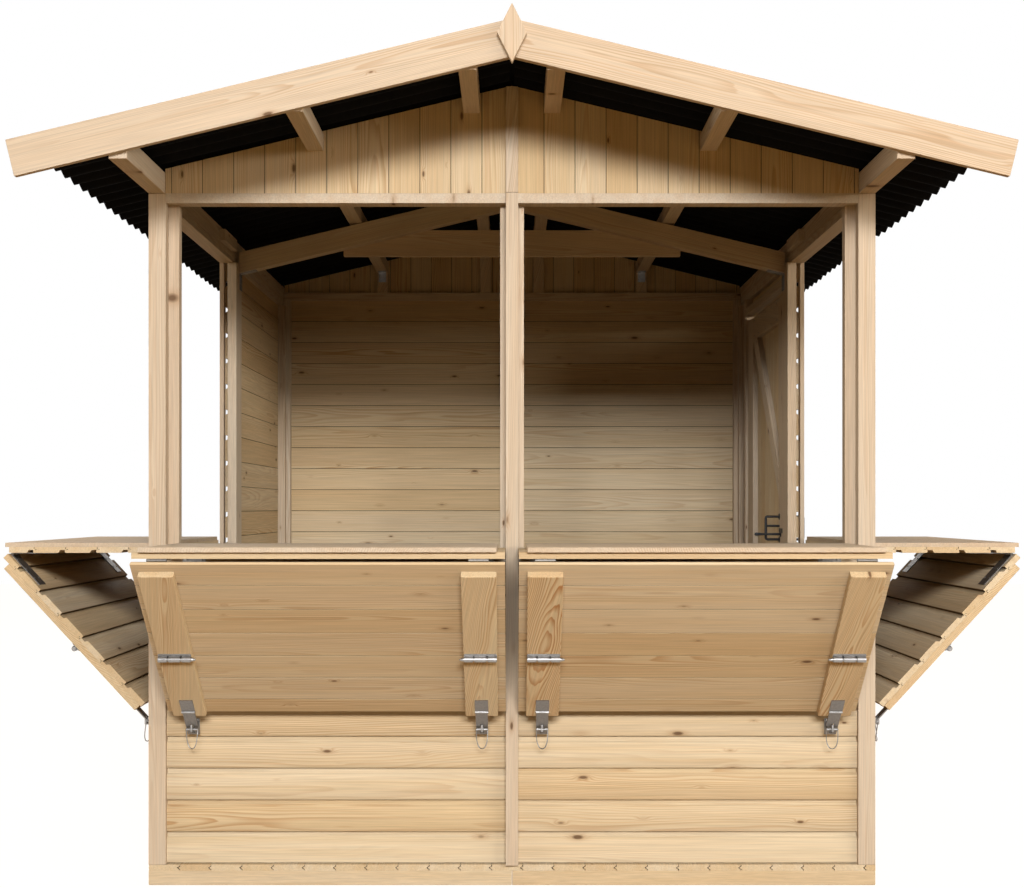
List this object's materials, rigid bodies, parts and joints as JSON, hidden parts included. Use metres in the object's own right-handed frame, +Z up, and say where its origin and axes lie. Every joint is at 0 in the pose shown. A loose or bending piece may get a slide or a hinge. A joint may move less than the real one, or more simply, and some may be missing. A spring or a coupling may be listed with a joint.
{
  "type": "wooden market stall",
  "caption": "Small pine market stall with a gable roof of black corrugated sheet, fold-down serving hatches on the front and both sides, a boarded floor and a side door.",
  "frame": {"origin": "centre of the square footprint, at ground level, on the underside of the middle floor joist", "axes": "+X to the customer's right when facing the front, +Y to the back, +Z up"},
  "size_m": [2.8376, 2.8298, 2.278],
  "materials": {
    "pine_boards": "planed pine tongue and groove, unfinished",
    "pine_timber": "planed pine, unfinished",
    "bitumen": "matt black bitumen fibre sheet",
    "zinc_steel": "zinc plated, satin"
  },
  "bodies": {
    "stall": {"base_beams": "pine_timber", "brace_battens": "pine_timber", "brace_hinges": "zinc_steel", "brace_panels": "pine_boards", "collar_tie": "pine_timber", "corner_posts": "pine_timber", "counter_boards": "pine_timber", "counter_panels": "pine_boards", "door_frame": "pine_timber", "door_hinge_plates": "zinc_steel", "eave_purlins": "pine_timber", "eye_plates": "zinc_steel", "finials": "pine_timber", "floor": "pine_boards", "foot_straps": "zinc_steel", "front_centre_post": "pine_timber", "front_cover_strips": "pine_timber", "front_fascia": "pine_timber", "front_gable": "pine_boards", "front_jambs": "pine_timber", "front_wall": "pine_boards", "gable_battens": "pine_timber", "gable_brackets": "zinc_steel", "gable_rails": "pine_timber", "hatch_bolts": "zinc_steel", "inner_battens": "pine_timber", "left_front_wall": "pine_boards", "left_rear_wall": "pine_boards", "linchpins": "zinc_steel", "mid_posts": "pine_timber", "mid_purlins": "pine_timber", "rafters": "pine_timber", "rear_fascia": "pine_timber", "rear_gable": "pine_boards", "rear_strips": "pine_timber", "rear_wall_left": "pine_boards", "rear_wall_right": "pine_boards", "ridge_cap": "bitumen", "ridge_purlins": "pine_timber", "right_front_wall": "pine_boards", "right_wall_before_door": "pine_boards", "right_wall_behind_door": "pine_boards", "right_wall_over_door": "pine_boards", "roof_sheet_left": "bitumen", "roof_sheet_right": "bitumen", "sills": "pine_timber", "splice_blocks": "pine_timber", "top_rails": "pine_timber", "truss_brackets": "zinc_steel", "wall_hinges": "zinc_steel"},
    "door": {"door_braces": "pine_timber", "door_handles": "zinc_steel", "door_latch": "zinc_steel", "door_leaf": "pine_boards", "door_ledges": "pine_timber", "door_stiles": "pine_timber", "door_straps": "zinc_steel"}
  },
  "joints": [
    {"name": "door_hinge", "type": "hinge", "parent": "stall", "child": "door", "pos_m": [0.9935, 0.749, 0.9], "axis": [0, 0, 1], "range_deg": [0, 110]}
  ]
}
